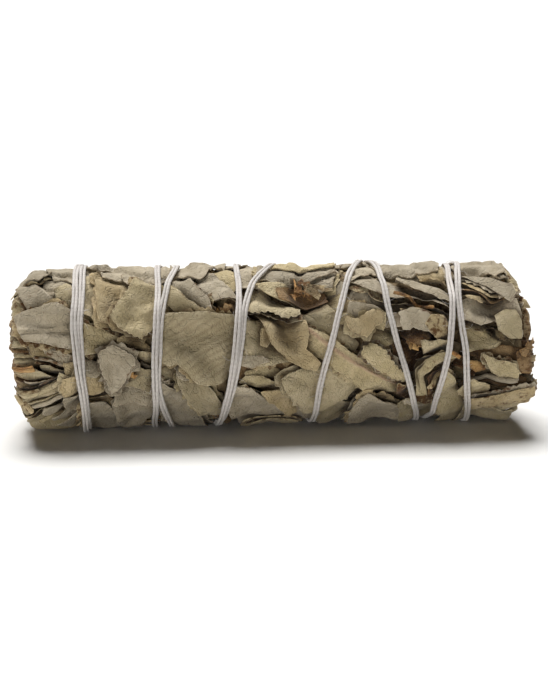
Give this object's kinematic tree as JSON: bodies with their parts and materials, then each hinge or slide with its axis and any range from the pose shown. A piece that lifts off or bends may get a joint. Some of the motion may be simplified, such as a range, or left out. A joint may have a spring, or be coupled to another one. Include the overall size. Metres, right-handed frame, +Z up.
{
  "type": "sage smudge stick",
  "caption": "Bundle of dried white sage sprigs, wrapped in their own lapped leaves and wound with doubled cotton thread, lying on its side.",
  "frame": {"origin": "on the table, below the middle of the stick, on the flat spot of the underside leaf that it lies on", "axes": "+X along the stick, towards the end that is on the right when it is seen from the front; -Y is the front; +Z is up from the table"},
  "size_m": [0.1011, 0.0363, 0.0326],
  "materials": {
    "leaf_pale": "matte",
    "leaf_tan": "matte",
    "leaf_olive": "matte",
    "leaf_grey": "matte",
    "sprig": "matte",
    "cotton_thread": "matte"
  },
  "bodies": {
    "root": {"center_sprig": "sprig", "sprig_1": "sprig", "sprig_2": "sprig", "sprig_3": "sprig", "sprig_4": "sprig", "sprig_5": "sprig", "sprig_6": "sprig", "wrap_leaf_01": "leaf_grey", "wrap_leaf_02": "leaf_pale", "wrap_leaf_03": "leaf_olive", "wrap_leaf_04": "leaf_tan", "wrap_leaf_05": "leaf_grey", "wrap_leaf_06": "leaf_pale", "wrap_leaf_07": "leaf_olive", "wrap_leaf_08": "leaf_grey", "wrap_leaf_09": "leaf_tan", "wrap_leaf_10": "leaf_pale", "wrap_leaf_11": "leaf_grey", "wrap_leaf_12": "leaf_pale", "wrap_leaf_13": "leaf_tan", "wrap_leaf_14": "leaf_pale", "wrap_leaf_15": "leaf_olive", "wrap_leaf_16": "leaf_tan", "wrap_leaf_17": "leaf_olive", "wrap_leaf_18": "leaf_olive", "wrap_leaf_19": "leaf_pale", "wrap_leaf_20": "leaf_grey", "wrap_leaf_21": "leaf_grey", "wrap_leaf_22": "leaf_pale", "wrap_leaf_23": "leaf_tan", "wrap_leaf_24": "leaf_olive", "wrap_leaf_25": "leaf_tan", "wrap_leaf_26": "leaf_pale", "wrap_leaf_27": "leaf_grey", "wrap_leaf_28": "leaf_tan", "wrap_leaf_29": "leaf_pale", "wrap_leaf_30": "leaf_grey", "wrap_leaf_31": "leaf_tan", "wrap_leaf_32": "leaf_grey", "wrap_leaf_33": "leaf_grey", "wrap_leaf_34": "leaf_pale", "wrap_leaf_35": "leaf_grey", "wrap_leaf_36": "leaf_tan", "wrap_leaf_37": "leaf_grey", "wrap_leaf_38": "leaf_olive", "wrap_leaf_39": "leaf_pale", "wrap_leaf_40": "leaf_olive", "wrap_leaf_41": "leaf_tan", "wrap_leaf_42": "leaf_pale", "wrap_leaf_43": "leaf_pale", "wrap_leaf_44": "leaf_olive", "wrap_leaf_45": "leaf_olive", "wrap_leaf_46": "leaf_pale", "wrap_leaf_47": "leaf_pale", "wrap_leaf_48": "leaf_tan", "wrap_leaf_49": "leaf_tan", "wrap_leaf_50": "leaf_grey", "cotton_thread": "cotton_thread"}
  },
  "joints": []
}
